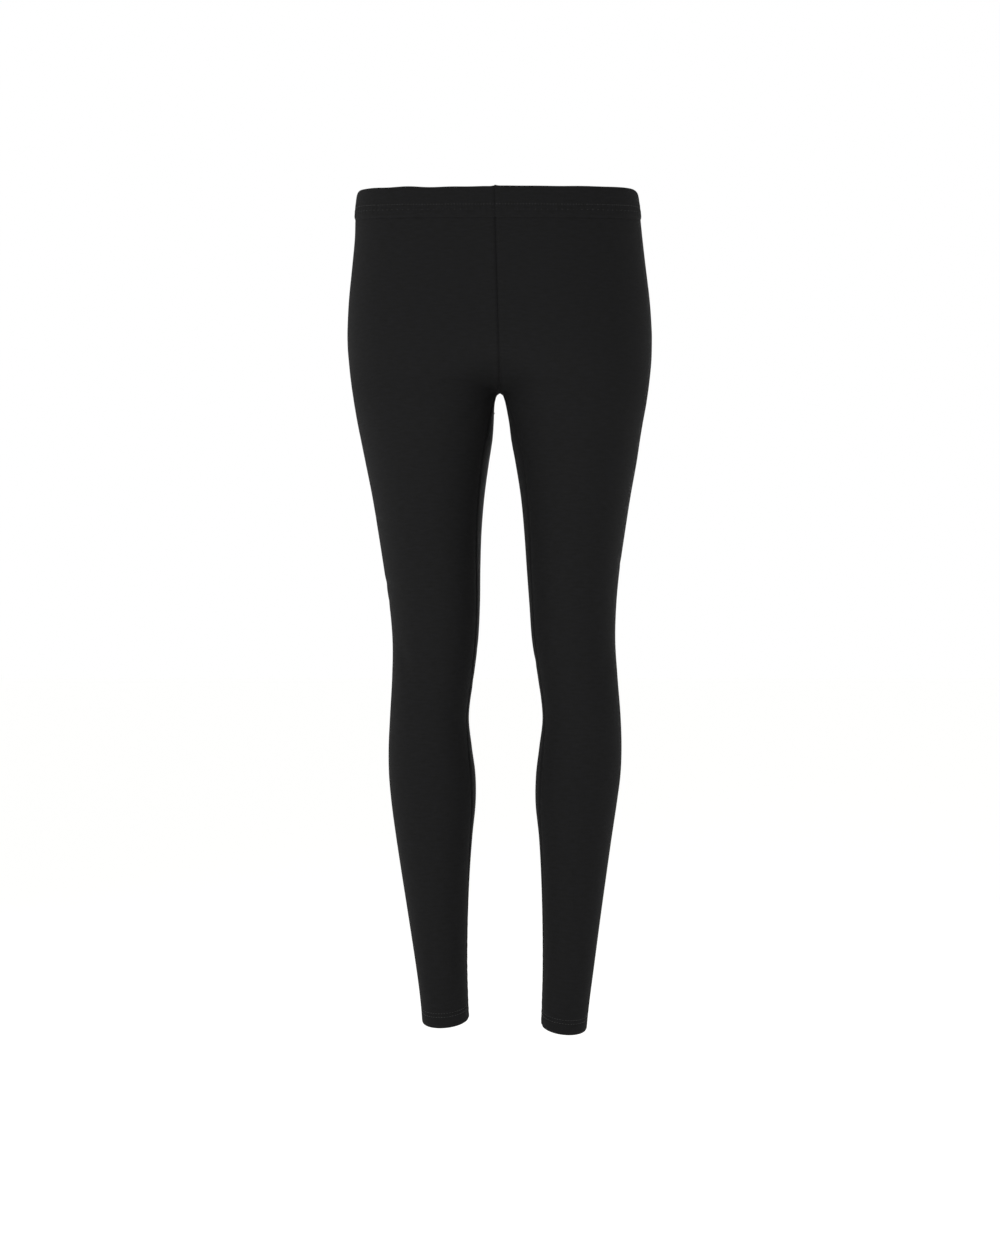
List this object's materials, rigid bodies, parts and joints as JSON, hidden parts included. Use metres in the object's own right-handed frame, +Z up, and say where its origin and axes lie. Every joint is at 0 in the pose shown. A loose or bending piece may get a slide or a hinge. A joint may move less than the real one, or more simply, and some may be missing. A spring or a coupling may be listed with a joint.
{
  "type": "leggings",
  "caption": "Low-rise ankle-length stretch leggings in black jersey, worn shape with nobody inside, hollow, with an elastic waist casing and turned hems.",
  "frame": {"origin": "centre of the waist opening, 14 mm below the casing's rim at the front and back", "axes": "+Z up towards the waist, -Y to the front of the garment, -X to the wearer's right leg"},
  "size_m": [0.3408, 0.2319, 0.9532],
  "materials": {
    "jersey": "matt black cotton and elastane single jersey, smooth face, stretched over the form",
    "waist_casing": "the same jersey, doubled over elastic and sewn down with two rows of stitching"
  },
  "bodies": {
    "root": {"leg_panel_right": "jersey", "leg_panel_left": "jersey", "waist_casing_right": "waist_casing", "waist_casing_left": "waist_casing"}
  },
  "joints": []
}
